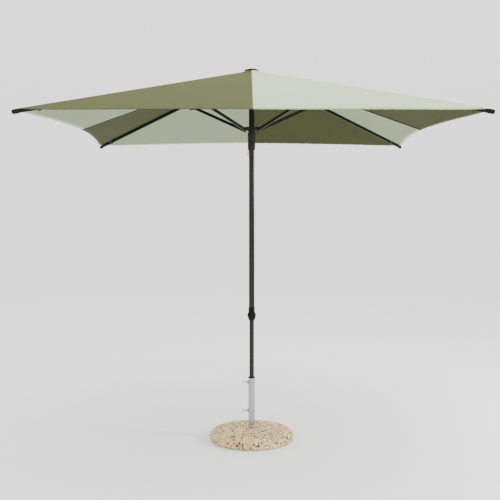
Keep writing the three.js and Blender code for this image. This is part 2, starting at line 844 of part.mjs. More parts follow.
function runnerBody() {
  const bore = upperPoleRadius + RUN;
  const bodyRadius = upperPoleRadius + runner.grip;
  const neckRadius = bore + runner.wall;
  const top = runnerHeight + runner.above;
  const shoulder = runnerHeight - runner.neck;
  const waist = shoulder - runner.body;
  const foot = waist - runner.taper;
  const section = [
    [bore, foot],
    [upperPoleRadius + runner.footGrip, foot],
    [upperPoleRadius + runner.waistGrip, waist],
    [bodyRadius, shoulder - 3],
    [bodyRadius - 2, shoulder],
    [neckRadius, shoulder + 2],
    [neckRadius, top - 2],
    [neckRadius - 2, top],
    [bore, top],
    [bore, foot],
  ];
  const additions = [];
  const cutters = [rod(bore, foot - 1, top + 1, 32)];
  const earAt = stretcher.tongue / 2 + RUN + runner.ear / 2;
  corners((number, azimuth) => {
    for (const side of [-1, 1]) {
      const outline = eyeOutline(
        hingeRadius, runnerHeight, runner.eye,
        [bore + 1, runnerHeight + runner.eye],
        [bore + 1, runnerHeight - 2 * runner.eye],
      );
      additions.push(plate(outline, runner.ear).translate(0, side * earAt, 0).rotateZ(azimuth));
    }
    const hole = crossRod(pinPassage, hingeRadius, runnerHeight, 4 * earAt);
    cutters.push(hole.rotateZ(azimuth));
  });
  const slotHalf = trigger.width / 2 + RUN;
  const houseHalf = slotHalf + trigger.housingSide;
  const houseOuter = triggerOuter + trigger.housing;
  additions.push(box(-houseOuter, -bore - 1, -houseHalf, houseHalf, foot, waist + 2));
  const springSide = slotHalf + trigger.springTurns * trigger.springWire + RUN;
  const springHalf = trigger.springRadius + RUN;
  cutters.push(
    box(-2 * houseOuter, -bore + 1, -slotHalf, slotHalf, foot - 1, triggerPivot + trigger.above + RUN),
    box(-2 * houseOuter, -bore + 1, 0, springSide, triggerPivot - springHalf, triggerPivot + springHalf),
    crossRod(trigger.pinRadius + GAP, -triggerPivotRadius, triggerPivot, houseHalf + 1),
  );
  return cut(join(turned(section), ...additions), ...cutters);
}

function triggerBody() {
  const outline = polygon([
    [-triggerInner, triggerPivot + trigger.above],
    [-triggerOuter, triggerPivot + trigger.above],
    [-triggerOuter, triggerPivot - trigger.below * 0.5],
    [-triggerOuter - trigger.thumb, triggerPivot - trigger.below * 0.64],
    [-triggerOuter - trigger.thumb, triggerPivot - trigger.below * 0.74],
    [-triggerOuter, triggerPivot - trigger.below * 0.87],
    [-triggerOuter + 0.6, triggerPivot - trigger.below],
    [-triggerInner - trigger.standOff, triggerPivot - trigger.below],
    [-triggerInner, triggerPivot - trigger.above / 4],
  ]);
  const hole = crossRod(trigger.pinRadius + GAP, -triggerPivotRadius, triggerPivot, trigger.width);
  return cut(plate(outline, trigger.width), hole);
}

function triggerSpring() {
  const inner = trigger.pinRadius + GAP;
  const points = [[inner, 0]];
  const steps = 2;
  for (let turn = 0; turn < trigger.springTurns; turn++) {
    for (let i = turn === 0 ? 0 : 1; i <= steps; i++) {
      const radius = trigger.springRadius - trigger.springWire / 2 * (1 - Math.sin((Math.PI * i) / steps));
      points.push([radius, (turn + i / steps) * trigger.springWire]);
    }
  }
  points.push([inner, trigger.springTurns * trigger.springWire], [inner, 0]);
  const start = trigger.width / 2 + RUN;
  return turned(points, 12).rotateX(-Math.PI / 2).translate(-triggerPivotRadius, start, triggerPivot);
}

function buildRunner() {
  add("runner_body", runnerBody(), colours.greyPlastic);
  add("release_trigger", triggerBody(), colours.blackPlastic);
  const pinLength = trigger.width / 2 + RUN + trigger.housingSide;
  const triggerPin = crossRod(trigger.pinRadius, -triggerPivotRadius, triggerPivot, pinLength);
  add("trigger_pin", triggerPin, colours.zinc);
  add("trigger_spring", triggerSpring(), colours.zinc);
}

buildBase();
buildMast();
buildClamp();
buildCrown();
buildRibs();
buildStretchers();
buildRunner();

export default umbrella;
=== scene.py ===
import math

import bpy
import numpy as np
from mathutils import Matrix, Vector, noise
from mathutils.kdtree import KDTree


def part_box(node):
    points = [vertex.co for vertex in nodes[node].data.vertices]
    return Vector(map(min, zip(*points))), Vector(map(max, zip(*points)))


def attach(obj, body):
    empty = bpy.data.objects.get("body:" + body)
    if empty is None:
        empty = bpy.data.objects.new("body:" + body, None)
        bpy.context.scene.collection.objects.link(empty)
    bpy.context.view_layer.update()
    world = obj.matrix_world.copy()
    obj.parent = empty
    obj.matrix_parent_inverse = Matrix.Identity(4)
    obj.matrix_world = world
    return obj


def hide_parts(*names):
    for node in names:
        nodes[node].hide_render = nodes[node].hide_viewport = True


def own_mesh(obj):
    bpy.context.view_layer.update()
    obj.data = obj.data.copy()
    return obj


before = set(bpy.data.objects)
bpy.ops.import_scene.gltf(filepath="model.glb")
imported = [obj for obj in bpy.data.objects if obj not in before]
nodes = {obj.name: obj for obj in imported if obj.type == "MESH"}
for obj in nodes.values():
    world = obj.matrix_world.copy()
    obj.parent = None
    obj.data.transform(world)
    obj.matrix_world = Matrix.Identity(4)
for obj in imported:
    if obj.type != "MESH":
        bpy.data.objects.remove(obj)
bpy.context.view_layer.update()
scene = bpy.context.scene

SLOPE = math.radians(13.15)  # of a rib, below level
RIDGE_DROP = math.tan(SLOPE)
FALL = math.sqrt(2) * RIDGE_DROP  # of a gore along its middle, per metre of reach
HUB_RADIUS = 0.053
HUB_TOP = 2.466
CLOTH_TOP = 2.4751  # where the ridges would meet over the mast
CLOTH_START = 0.062  # reach of the panels' inner edge
EDGE_MIDDLE = 1.142
SCALLOP = 0.108
CORNER = 1.2205  # reach of a corner, at the tip's sleeve
SAG = 0.020
WALL = 0.0006  # thickness of the cloth
RIBS = {k: math.radians(45 + 90 * (k - 1)) for k in (1, 2, 3, 4)}
FOLDS = {1: "canopy_fold", 2: "rib_2_fold", 3: "rib_3_fold", 4: "rib_4_fold"}


# ---------------------------------------------------------------- camera, light and floor

def build_camera():
    data = bpy.data.cameras.new("camera")
    data.sensor_width = 36
    data.lens = 57.4
    camera = bpy.data.objects.new("camera", data)
    data.shift_x, data.shift_y = 0.0072, -0.087
    camera.location = (-0.0355, -5.36, 1.562)
    camera.rotation_euler = (math.radians(90), 0, 0)
    scene.collection.objects.link(camera)
    scene.camera = camera


def area_light(name, place, target, size, power):
    data = bpy.data.lights.new(name, "AREA")
    data.shape = "RECTANGLE"
    data.size, data.size_y = size
    data.energy = power
    light = bpy.data.objects.new(name, data)
    light.location = place
    aim = Vector(target) - Vector(place)
    light.rotation_euler = aim.to_track_quat("-Z", "Y").to_euler()
    scene.collection.objects.link(light)


def build_studio():
    world = bpy.data.worlds.new("studio")
    world.use_nodes = True
    tree = world.node_tree
    background = tree.nodes["Background"]
    background.inputs["Strength"].default_value = 2.0
    direction = tree.nodes.new("ShaderNodeTexCoord")
    height = tree.nodes.new("ShaderNodeSeparateXYZ")
    sky = tree.nodes.new("ShaderNodeValToRGB")
    for element, place, tone in zip(sky.color_ramp.elements, (0.03, 0.45), (0.9, 1.0)):
        element.position = place
        element.color = (tone, tone, tone, 1)
    tree.links.new(direction.outputs["Generated"], height.inputs["Vector"])
    tree.links.new(height.outputs["Z"], sky.inputs["Fac"])
    tree.links.new(sky.outputs["Color"], background.inputs["Color"])
    scene.world = world
    area_light("key", (4.9, -1.05, 2.9), (0, 0, 2.9), (0.7, 2.5), 300)
    area_light("overhead", (0.3, -0.6, 5.6), (0, 0, 0), (4.5, 4.5), 150)

    far = 300
    corners = [(-far, -far, 0), (far, -far, 0), (far, far, 0), (-far, far, 0)]
    floor = mesh_object("floor", corners, [(0, 1, 2, 3)])
    look = Look("studio_floor")
    look.set({"Base Color": (0.9, 0.9, 0.9, 1), "Roughness": 0.95, "Specular IOR Level": 0.05})
    floor.data.materials.append(look.material)


# ---------------------------------------------------------------- tools

def mesh_object(name, points, faces):
    mesh = bpy.data.meshes.new(name)
    mesh.from_pydata([tuple(p) for p in points], [], faces)
    mesh.validate()
    mesh.shade_smooth()
    obj = bpy.data.objects.new(name, mesh)
    scene.collection.objects.link(obj)
    return obj


def lay_flat(obj, coordinates):
    """Gives each point its place on the flat cloth, in metres, for the weave."""
    uv = obj.data.uv_layers.new(name="UVMap")
    for loop in obj.data.loops:
        uv.data[loop.index].uv = coordinates[loop.vertex_index]


def distances(points):
    """How far along the line each of its points lies."""
    return np.concatenate([[0], np.cumsum(np.linalg.norm(np.diff(points, axis=0), axis=1))])


class Look:
    """A material built from nodes around one Principled shader."""

    def __init__(self, name):
        self.material = bpy.data.materials.new(name)
        self.material.use_nodes = True
        self.tree = self.material.node_tree
        self.tree.nodes.clear()
        self.output = self.add("ShaderNodeOutputMaterial")
        self.shader = self.add("ShaderNodeBsdfPrincipled")
        self.link(self.shader.outputs["BSDF"], self.output.inputs["Surface"])
        self.coordinates = self.add("ShaderNodeTexCoord")

    def add(self, kind, **settings):
        node = self.tree.nodes.new(kind)
        for key, value in settings.items():
            setattr(node, key, value)
        return node

    def link(self, source, target):
        self.tree.links.new(source, target)

    def set(self, values):
        for key, value in values.items():
            self.shader.inputs[key].default_value = value

    def feed(self, source, key):
        self.link(source, self.shader.inputs[key])

    def stretched(self, scale, vector=None):
        node = self.add("ShaderNodeMapping")
        node.inputs["Scale"].default_value = scale
        self.link(vector or self.coordinates.outputs["Object"], node.inputs["Vector"])
        return node.outputs["Vector"]

    def noise(self, scale, detail, roughness, vector=None):
        node = self.add("ShaderNodeTexNoise")
        node.inputs["Scale"].default_value = scale
        node.inputs["Detail"].default_value = detail
        node.inputs["Roughness"].default_value = roughness
        self.link(vector or self.coordinates.outputs["Object"], node.inputs["Vector"])
        return node.outputs["Fac"]

    def cells(self, scale, output):
        node = self.add("ShaderNodeTexVoronoi")
        node.inputs["Scale"].default_value = scale
        self.link(self.coordinates.outputs["Object"], node.inputs["Vector"])
        return node.outputs[output]

    def math(self, operation, a, b=None):
        node = self.add("ShaderNodeMath", operation=operation)
        for socket, value in zip(node.inputs, (a, b)):
            if isinstance(value, (int, float)):
                socket.default_value = value
            elif value is not None:
                self.link(value, socket)
        return node.outputs["Value"]

    def ramp(self, factor, *stops):
        """Two stops, each a place and a colour."""
        node = self.add("ShaderNodeValToRGB")
        for element, (place, colour) in zip(node.color_ramp.elements, stops):
            element.position = place
            element.color = (*colour, 1)
        self.link(factor, node.inputs["Fac"])
        return node.outputs["Color"]

    def spread(self, factor, low, high):
        node = self.add("ShaderNodeMapRange")
        node.inputs["To Min"].default_value = low
        node.inputs["To Max"].default_value = high
        self.link(factor, node.inputs["Value"])
        return node.outputs["Result"]

    def multiply(self, a, b, factor):
        """One colour times another; the node's sockets 6 and 7 and its output 2 are the colours."""
        node = self.add("ShaderNodeMix", data_type="RGBA", blend_type="MULTIPLY")
        node.inputs[0].default_value = factor
        self.link(a, node.inputs[6])
        self.link(b, node.inputs[7])
        return node.outputs[2]

    def bump(self, height, distance, strength, under=None):
        node = self.add("ShaderNodeBump")
        node.inputs["Distance"].default_value = distance
        node.inputs["Strength"].default_value = strength
        self.link(height, node.inputs["Height"])
        if under is not None:
            self.link(under, node.inputs["Normal"])
        return node.outputs["Normal"]


# ---------------------------------------------------------------- materials

YARN_PITCH = 0.0011
GLOW = 0.06  # share of the light that comes through the cloth


def shade(colour, factor):
    return tuple(c * factor for c in colour)


def cloth_look(name, colour):
    """A plain-woven cloth: crossed yarns, slubs, faint mottling, and light that comes through."""
    look = Look(name)
    uv = look.add("ShaderNodeUVMap").outputs["UV"]
    split = look.add("ShaderNodeSeparateXYZ")
    look.link(uv, split.inputs["Vector"])
    wave = 2 * math.pi / YARN_PITCH
    warp = look.math("SINE", look.math("MULTIPLY", split.outputs["X"], wave))
    weft = look.math("SINE", look.math("MULTIPLY", split.outputs["Y"], wave))
    weave = look.math("MULTIPLY", warp, weft)
    slubs = [
        look.noise(1.0, 2, 0.5, look.stretched(scale, uv)) for scale in ((9, 700, 1), (700, 9, 1))
    ]
    slub = look.math("ADD", *slubs)
    mottle = look.noise(2.2, 4, 0.55)
    base = look.ramp(mottle, (0.3, shade(colour, 0.955)), (0.7, shade(colour, 1.045)))
    uneven = look.spread(slub, -0.6, 1.6)
    yarns = look.ramp(uneven, (0.1, (0.93, 0.93, 0.93)), (0.9, (1.06, 1.06, 1.06)))
    look.feed(look.multiply(base, yarns, 1.0), "Base Color")
    look.set({"Roughness": 0.88, "Specular IOR Level": 0.08})
    look.set({"Sheen Weight": 0.02, "Sheen Roughness": 0.5})
    relief = look.math("ADD", weave, look.math("MULTIPLY", slub, 0.8))
    fine = look.bump(relief, 0.00012, 0.55)
    normal = look.bump(look.noise(26, 3, 0.5), 0.0009, 0.35, fine)
    look.feed(normal, "Normal")
    translucent = look.add("ShaderNodeBsdfTranslucent")
    translucent.inputs["Color"].default_value = (*shade(colour, 0.95), 1)
    blend = look.add("ShaderNodeMixShader")
    blend.inputs[0].default_value = GLOW
    look.link(look.shader.outputs["BSDF"], blend.inputs[1])
    look.link(translucent.outputs["BSDF"], blend.inputs[2])
    look.link(blend.outputs["Shader"], look.output.inputs["Surface"])
    return look.material


def coated_look(name, colour, roughness, flow, gloss):
    """Powder-coated steel: slight orange peel, drifting gloss and rubbed streaks along the tube."""
    look = Look(name)
    drift = look.noise(6, 4, 0.6, look.stretched(flow))
    base = look.ramp(drift, (0.3, shade(colour, 0.85)), (0.75, shade(colour, 1.25)))
    look.feed(base, "Base Color")
    rubbed = look.noise(60, 4, 0.6, look.stretched(flow))
    look.feed(look.spread(rubbed, roughness * 0.8, roughness * 1.3), "Roughness")
    look.feed(look.bump(look.noise(900, 2, 0.5), 0.00005, 0.5), "Normal")
    look.set({"Specular IOR Level": 0.12, "Coat Weight": gloss, "Coat Roughness": 0.1})
    return look.material


def plastic_look(name, colour, roughness, gloss=0.03):
    """Moulded plastic: spark-eroded grain, cloudy gloss and paler worn high spots."""
    look = Look(name)
    cloud = look.noise(35, 4, 0.6)
    base = look.ramp(cloud, (0.3, shade(colour, 0.8)), (0.8, shade(colour, 1.35)))
    look.feed(base, "Base Color")
    worn = look.noise(160, 3, 0.6)
    look.feed(look.spread(worn, roughness * 0.85, roughness * 1.25), "Roughness")
    look.feed(look.bump(look.cells(1800, "Distance"), 0.00006, 0.6), "Normal")
    look.set({"Specular IOR Level": gloss})
    return look.material


def galvanised_look(name, colour, roughness, spangle):
    """Zinc-coated steel: spangles that differ in tone and gloss, with dull weathered patches."""
    look = Look(name)
    grey = look.add("ShaderNodeRGBToBW")
    look.link(look.cells(spangle, "Color"), grey.inputs["Color"])
    crystal = grey.outputs["Val"]
    tone = look.ramp(crystal, (0.2, shade(colour, 0.93)), (0.8, shade(colour, 1.06)))
    patch = look.ramp(look.noise(14, 5, 0.65), (0.42, (0.82, 0.83, 0.84)), (0.62, (1, 1, 1)))
    look.feed(look.multiply(tone, patch, 0.35), "Base Color")
    look.feed(look.spread(crystal, roughness * 0.75, roughness * 1.35), "Roughness")
    streaks = look.noise(500, 2, 0.5, look.stretched((1, 1, 0.04)))
    look.feed(look.bump(streaks, 0.00008, 0.4), "Normal")
    look.set({"Metallic": 0.85})
    return look.material


def aggregate_look(name):
    """Washed pebbles in pale mortar: colours from the mesh, veins and pores from noise."""
    look = Look(name)
    stones = look.add("ShaderNodeAttribute", attribute_name="pebble").outputs["Color"]
    vein = look.noise(420, 4, 0.65)
    veins = look.ramp(vein, (0.32, (0.78, 0.76, 0.72)), (0.62, (1.06, 1.06, 1.06)))
    cloud = look.ramp(look.noise(9, 3, 0.5), (0.3, (0.94, 0.93, 0.9)), (0.7, (1.05, 1.05, 1.05)))
    look.feed(look.multiply(look.multiply(stones, veins, 0.85), cloud, 1.0), "Base Color")
    look.feed(look.spread(look.noise(120, 3, 0.6), 0.5, 0.9), "Roughness")
    look.feed(look.bump(look.noise(1300, 3, 0.6), 0.0003, 0.5), "Normal")
    look.set({"Specular IOR Level": 0.35})
    return look.material


def thread_look(name, colour):
    """Twisted thread or bound tape."""
    look = Look(name)
    twist = look.noise(2600, 2, 0.5)
    look.feed(look.ramp(twist, (0.3, shade(colour, 0.7)), (0.7, shade(colour, 1.2))), "Base Color")
    look.feed(look.bump(twist, 0.0001, 0.6), "Normal")
    look.set({"Roughness": 0.8, "Sheen Weight": 0.2})
    return look.material


OLIVE = (0.067, 0.079, 0.025)
SAGE = (0.45, 0.53, 0.33)
ANTHRACITE = (0.009, 0.009, 0.007)
LOOKS = {
    "olive": cloth_look("olive_cloth", OLIVE),
    "sage": cloth_look("sage_cloth", SAGE),
    # Darker copies of the two cloths for the canopy's underside: painted shade, olive at 0.62 and
    # sage at 0.54 of the lit colour.
    "olive_under": cloth_look("olive_cloth_painted_shade", shade(OLIVE, 0.62)),
    "sage_under": cloth_look("sage_cloth_painted_shade", shade(SAGE, 0.54)),
    "mast": coated_look("mast_coating", ANTHRACITE, 0.26, (1, 1, 0.06), 0.2),
    "arm": coated_look("arm_coating", ANTHRACITE, 0.32, (1, 1, 1), 0.02),
    "black": plastic_look("black_plastic", (0.011, 0.011, 0.010), 0.45),
    "cap": plastic_look("cap_plastic", (0.011, 0.011, 0.010), 0.7, 0.004),
    "grey": plastic_look("grey_plastic", (0.024, 0.022, 0.018), 0.48),
    "tube": galvanised_look("galvanised_tube", (0.36, 0.365, 0.37), 0.22, 90),
    "zinc": galvanised_look("zinc_hardware", (0.66, 0.67, 0.69), 0.3, 260),
    "pin": galvanised_look("dark_zinc", (0.10, 0.10, 0.105), 0.4, 260),
    "aggregate": aggregate_look("washed_aggregate"),
    "thread_olive": thread_look("olive_thread", (0.16, 0.18, 0.09)),
    "thread_sage": thread_look("sage_thread", (0.5, 0.53, 0.42)),
    "tape": thread_look("seam_tape", (0.03, 0.032, 0.02)),
}


# ---------------------------------------------------------------- carried-over CAD pieces

WELD = 0.00002
HARD_EDGE = math.radians(32)


def dress(names, look, bevel):
    """Welds, rounds and smooths what is shown of a CAD node; its mesh isn't changed."""
    for name in names:
        obj = nodes[name]
        obj.data.materials.clear()
        obj.data.materials.append(LOOKS[look])
        for custom in ("custom_normal", "sharp_face", "sharp_edge"):
            if custom in obj.data.attributes:
                obj.data.attributes.remove(obj.data.attributes[custom])
        obj.data.shade_smooth()
        weld = obj.modifiers.new("weld", "WELD")
        weld.merge_threshold = WELD
        edge = obj.modifiers.new("rounding", "BEVEL")
        edge.width = bevel
        edge.segments = 2
        edge.limit_method = "ANGLE"
        edge.angle_limit = HARD_EDGE
        edge.harden_normals = True
        edge.use_clamp_overlap = True


def each(pattern):
    return [pattern.format(k) for k in RIBS]


def dress_frame():
    dress(["lower_pole", "upper_pole"], "mast", 0.0003)
    dress([*each("rib_{}"), *each("stretcher_{}")], "arm", 0.0005)
    dress(each("rib_{}_bracket"), "arm", 0.0004)
    sleeves = ["reducer_sleeve", "lower_pole_plug", "pole_guide_bush", "clamp_collar"]
    dress(sleeves, "black", 0.0005)
    dress(["clamp_nut", "crown_hub", "release_trigger"], "black", 0.0008)
    dress(["top_cap"], "cap", 0.001)
    dress(each("rib_{}_tip"), "black", 0.001)
    dress(["clamp_collet", "runner_body"], "grey", 0.0008)
    dress(["anchor_plate", "base_tube", "tube_collar"], "tube", 0.0005)
    dress(["lower_screw_boss", "upper_screw_boss"], "tube", 0.0008)
    screws = ["lower_wing_screw", "upper_wing_screw", "crown_stud"]
    pins = [*each("rib_{}_crown_pin"), *each("rib_{}_bracket_pin"), *each("runner_pin_{}")]
    dress([*screws, "trigger_pin", "trigger_spring"], "zinc", 0.0005)
    dress(pins, "pin", 0.0005)


# ---------------------------------------------------------------- slab of washed aggregate

SURFACE_PITCH = 0.0024  # between the rows of points on the slab
COLUMNS = 960
SOFTNESS = 2 / 3  # of the dome's shoulder; 1 would be an ellipse


def slab_profile():
    """Radius and height: from the foot's edge over the dome to the tube, and back underneath."""
    radius, foot, belly, height = 0.280, 0.262, 0.021, 0.082
    bore, well, well_top = 0.0226, 0.062, 0.0083
    points = []
    for i in range(14):
        a = math.radians(90) * i / 14
        points.append((foot + (radius - foot) * math.sin(a), belly * (1 - math.cos(a))))
    steps = 150
    for i in range(steps + 1):
        a = math.radians(90) * (i / steps)
        r = radius * math.cos(a) ** SOFTNESS
        if r < bore:
            break
        points.append((r, belly + (height - belly) * math.sin(a) ** SOFTNESS))
    return even(points), [(bore, height), (bore, well_top), (well, well_top), (well, 0)]


def even(points):
    """The same line with its points about one pitch apart."""
    p = np.array(points)
    along = distances(p)
    at = np.linspace(0, along[-1], int(along[-1] / SURFACE_PITCH))
    line = np.stack([np.interp(at, along, p[:, i]) for i in (0, 1)], axis=1)
    return [tuple(x) for x in line]


MORTAR = (0.70, 0.52, 0.27)
STONES = 3000
SCATTER = 0.0016
SHOULDER = 0.0024  # over which a pebble slopes down to its neighbour
HOLLOW = 0.0011  # of the mortar below the slab's profile
RELIEF = 0.0019  # of the tallest pebble above the mortar
DARK = 3  # the pebbles after this one are dark, and the largest
PEBBLES = [  # share of the stones, colour
    (0.38, (0.74, 0.53, 0.25)),
    (0.24, (0.90, 0.72, 0.42)),
    (0.14, (0.52, 0.32, 0.12)),
    (0.08, (0.46, 0.36, 0.20)),
    (0.08, (0.13, 0.065, 0.025)),
    (0.08, (0.016, 0.010, 0.006)),
]


def build_slab():
    """A surface of pebbles: each point takes the height and colour of the pebble it belongs to."""
    surface, underside = slab_profile()
    line = np.array(surface + underside)
    rng = np.random.default_rng(11)
    turn = np.linspace(0, 2 * math.pi, COLUMNS, endpoint=False)
    radii, heights = line[:, :1], np.repeat(line[:, 1:], COLUMNS, axis=1)
    points = np.stack([radii * np.cos(turn), radii * np.sin(turn), heights], axis=2).reshape(-1, 3)

    weight = np.repeat(line[:, 0], COLUMNS)
    seeds = points[rng.choice(len(points), STONES, p=weight / weight.sum())]
    seeds = seeds + rng.normal(0, SCATTER, seeds.shape)
    palette = rng.choice(len(PEBBLES), len(seeds), p=[share for share, _ in PEBBLES])
    tint = rng.normal(1, 0.09, (len(seeds), 1)) * np.array([c for _, c in PEBBLES])[palette]
    proud = rng.uniform(0.4, 1.0, len(seeds))
    size = rng.uniform(0.0036, 0.0080, len(seeds))
    pull = np.where(palette > DARK, 0.66, rng.uniform(0.9, 1.15, len(seeds)))
    tree = KDTree(len(seeds))
    for i, seed in enumerate(seeds):
        tree.insert(seed, i)
    tree.balance()

    step = np.gradient(line, axis=0)
    outward = np.stack([step[:, 1], -step[:, 0]], axis=1)
    outward /= np.linalg.norm(outward, axis=1, keepdims=True) + 1e-12
    mortar = np.array(MORTAR)
    colour = np.ones((len(points), 4), np.float32)
    moved = points.copy()
    shown = len(surface)
    for i in range(len(points)):
        row, column = divmod(i, COLUMNS)
        found = sorted((distance * pull[k], k) for _, k, distance in tree.find_n(points[i], 4))
        (near, first), (far, _) = found[:2]
        dome = math.sqrt(max(0.0, 1 - (near / size[first]) ** 2))
        rise = dome * min(1.0, (far - near) / SHOULDER)
        cover = min(1.0, rise * 2.2)
        colour[i, :3] = mortar * (0.8 + 0.2 * cover) * (1 - cover) + tint[first] * cover
        if row < shown:
            fade = min(1.0, row / 5, (shown - 1 - row) / 3)
            lift = (-HOLLOW + RELIEF * rise * proud[first]) * fade
            r, z = outward[row] * lift
            moved[i] += (r * math.cos(turn[column]), r * math.sin(turn[column]), z)

    faces = []
    for row in range(len(line)):
        below, above = row * COLUMNS, (row + 1) % len(line) * COLUMNS
        for column in range(COLUMNS):
            beside = (column + 1) % COLUMNS
            faces.append((below + column, below + beside, above + beside, above + column))
    slab = mesh_object("aggregate_slab", moved, faces)
    attribute = slab.data.color_attributes.new("pebble", "FLOAT_COLOR", "POINT")
    attribute.data.foreach_set("color", np.clip(colour, 0, 1).ravel())
    slab.data.materials.append(LOOKS["aggregate"])
    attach(slab, "base")
    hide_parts("base_slab")


# ---------------------------------------------------------------- canopy

class Gore:
    """One of the eight pieces of cloth, between a rib and the seam at the middle of a side."""

    def __init__(self, rib, side):
        self.rib, self.side = rib, side
        self.body, self.joint = f"rib_{rib}", FOLDS[rib]
        self.tone = "olive" if side > 0 else "sage"
        self.name = f"canopy_gore_{rib}_{self.tone}"
        self.node = f"canopy_{rib}_{self.tone}"
        facing = RIBS[rib] + side * math.radians(45)
        self.out = np.array([math.cos(facing), math.sin(facing)])
        lateral = facing - side * math.radians(90)
        self.across = np.array([math.cos(lateral), math.sin(lateral)])

    def point(self, reach, width, lift=0.0):
        """A point on the cloth: reach from the mast square to the side, width from its middle."""
        x, y = reach * self.out + width * self.across
        share = min(1.0, width / max(reach, 1e-6))
        z = CLOTH_TOP - FALL * reach - SAG * (reach / EDGE_MIDDLE) ** 2 * (1 - share ** 2)
        return (x, y, z + ripple(x, y, reach, share) + lift)

    def flatten(self, obj):
        """Works out the axis from the rib's line towards the gore's middle, and gives the piece its
        own copy of its mesh.
        """
        rib = RIBS[self.rib]
        ridge = np.array([math.cos(rib), math.sin(rib), -RIDGE_DROP])
        ridge /= np.linalg.norm(ridge)
        middle = np.array([*self.out, -FALL])
        axis = middle - (middle @ ridge) * ridge
        axis /= np.linalg.norm(axis)
        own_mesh(obj)


def edge_reach(share):
    """Where the scalloped edge lies, from the middle of a side, 0, to the rib, 1."""
    nip = EDGE_MIDDLE + SCALLOP - CORNER
    return EDGE_MIDDLE + SCALLOP * share ** 2 - nip * share ** 24


def ripple(x, y, reach, share):
    """Slack in the stretched cloth: broad shallow waves, and puckers that gather along the hems."""
    broad = 0.0022 * noise.noise(Vector((x * 1.7, y * 1.7, 0.3)))
    from_edge = max(0.0, edge_reach(share) - reach)
    width = share * reach
    held = (1 - share ** 6) * min(1.0, share * 12)
    pucker = math.sin(width * 160 + 2.5 * math.sin(width * 23)) + 0.6 * math.sin(width * 71)
    calm = min(1.0, reach / 0.3) * (1 - share ** 8)
    return broad * calm + 0.0007 * pucker * held * math.exp(-from_edge / 0.035)


def build_gore(gore):
    """The sheet of one gore: it hangs from the rib, sags to the seam and has a scalloped edge."""
    alongs, acrosses = 56, 150
    points, coordinates = [], []
    for i in range(alongs + 1):
        for j in range(acrosses + 1):
            share = j / acrosses
            depth = 1 - (1 - i / alongs) ** 1.35
            reach = CLOTH_START + (edge_reach(share) - CLOTH_START) * depth
            points.append(gore.point(reach, share * reach))
            coordinates.append((share * reach, reach * math.hypot(1, FALL)))
    row = acrosses + 1
    faces = []
    for i in range(alongs):
        for j in range(acrosses):
            a = i * row + j
            quad = (a, a + 1, a + row + 1, a + row)
            faces.append(quad if gore.side > 0 else quad[::-1])
    sheet = mesh_object(gore.name, points, faces)
    lay_flat(sheet, coordinates)
    sheet.data.materials.append(LOOKS[gore.tone])
    # The second slot holds the darker copy of the cloth, painted shade that the solidified
    # underside takes.
    sheet.data.materials.append(LOOKS[gore.tone + "_under"])
    thick = sheet.modifiers.new("cloth", "SOLIDIFY")
    thick.thickness, thick.offset, thick.material_offset = WALL, 0, 1
    return sheet


STITCH = 0.0034  # length of a stitch
STITCH_PITCH = 0.005
THREAD = 0.00045  # half the thread's width
HEM = 0.022
MARGIN = 0.003  # from the hem's inner edge to its stitches
OVER, UNDER = 0.0007, -0.0014  # where stitches lie, above and below the cloth's middle


class Strips:
    """Gathers closed bands and stitches into one mesh: its top, its stitches and its underside,
    which can take a darker look painted as shade.
    """

    def __init__(self):
        self.points, self.faces, self.slots, self.uvs = [], [], [], []

    def band(self, sections, slot=0):
        """A solid strip through a list of closed sections of equal length."""
        size = len(sections[0])
        start = len(self.points)
        for step, section in enumerate(sections):
            self.points += section
            self.uvs += [(step * 0.01, k * 0.004) for k in range(size)]  # near enough for a band
        for i in range(len(sections) - 1):
            for k in range(size):
                a, b = start + i * size + k, start + i * size + (k + 1) % size
                self.faces.append((a, b, b + size, a + size))
                self.slots.append(slot)
        self.faces.append(tuple(range(start + size - 1, start - 1, -1)))
        self.faces.append(tuple(start + (len(sections) - 1) * size + k for k in range(size)))
        self.slots += [slot, slot]

    def stitches(self, path, lift):
        """Dashes of thread along a line of points."""
        p = np.array(path)
        along = distances(p)
        for begin in np.arange(0.004, along[-1] - STITCH, STITCH_PITCH):
            ends = [
                np.array([np.interp(at, along, p[:, k]) for k in range(3)])
                for at in (begin, begin + STITCH)
            ]
            ahead = (ends[1] - ends[0]) / (np.linalg.norm(ends[1] - ends[0]) + 1e-12)
            aside = np.cross(ahead, (0, 0, 1.0)) * THREAD
            sections = []
            for end in ends:
                foot = end + (0, 0, lift)
                crest = foot + (0, 0, THREAD * 1.3)
                sections.append([tuple(foot - aside), tuple(foot + aside), tuple(crest)])
            self.band(sections, 1)

    def made(self, name, top, thread, under):
        trim = mesh_object(name, self.points, self.faces)
        lay_flat(trim, self.uvs)
        for look in (top, thread, under):
            trim.data.materials.append(LOOKS[look])
        for face, slot in zip(trim.data.polygons, self.slots):
            # Band faces that don't face upwards take the third look, which for the cloth is a
            # darker copy painted as shade.
            face.material_index = 2 if slot == 0 and face.normal.z < 0.4 else slot
        return trim


def hem_sections(gore):
    """The folded edge: it turns under and its outer edge is rounded."""
    fold = (
        (HEM, 0.0004), (0.001, 0.0007), (-0.0006, -0.0001), (0.001, -0.0010), (HEM, -0.0009),
    )
    sections, steps = [], 130
    for j in range(steps + 1):
        share = j / steps * 0.985
        edge = edge_reach(share)
        ring = []
        for inset, lift in fold:
            reach = edge - inset
            ring.append(gore.point(reach, share * reach, lift))
        sections.append(ring if gore.side > 0 else ring[::-1])
    return sections


def line_on(gore, inset):
    """A line along the scalloped edge, one inset inside it."""
    line, steps = [], 150
    for j in range(steps + 1):
        share = j / steps * 0.98
        reach = edge_reach(share) - inset
        line.append(gore.point(reach, share * reach))
    return line


def seam_point(gore, kind, reach, offset, lift=0.0):
    """On the cloth, at an offset from the rib's line or from the side's middle line."""
    if kind == "rib":
        return gore.point(reach + offset * math.sqrt(0.5), reach - offset * math.sqrt(0.5), lift)
    return gore.point(reach, offset, lift)


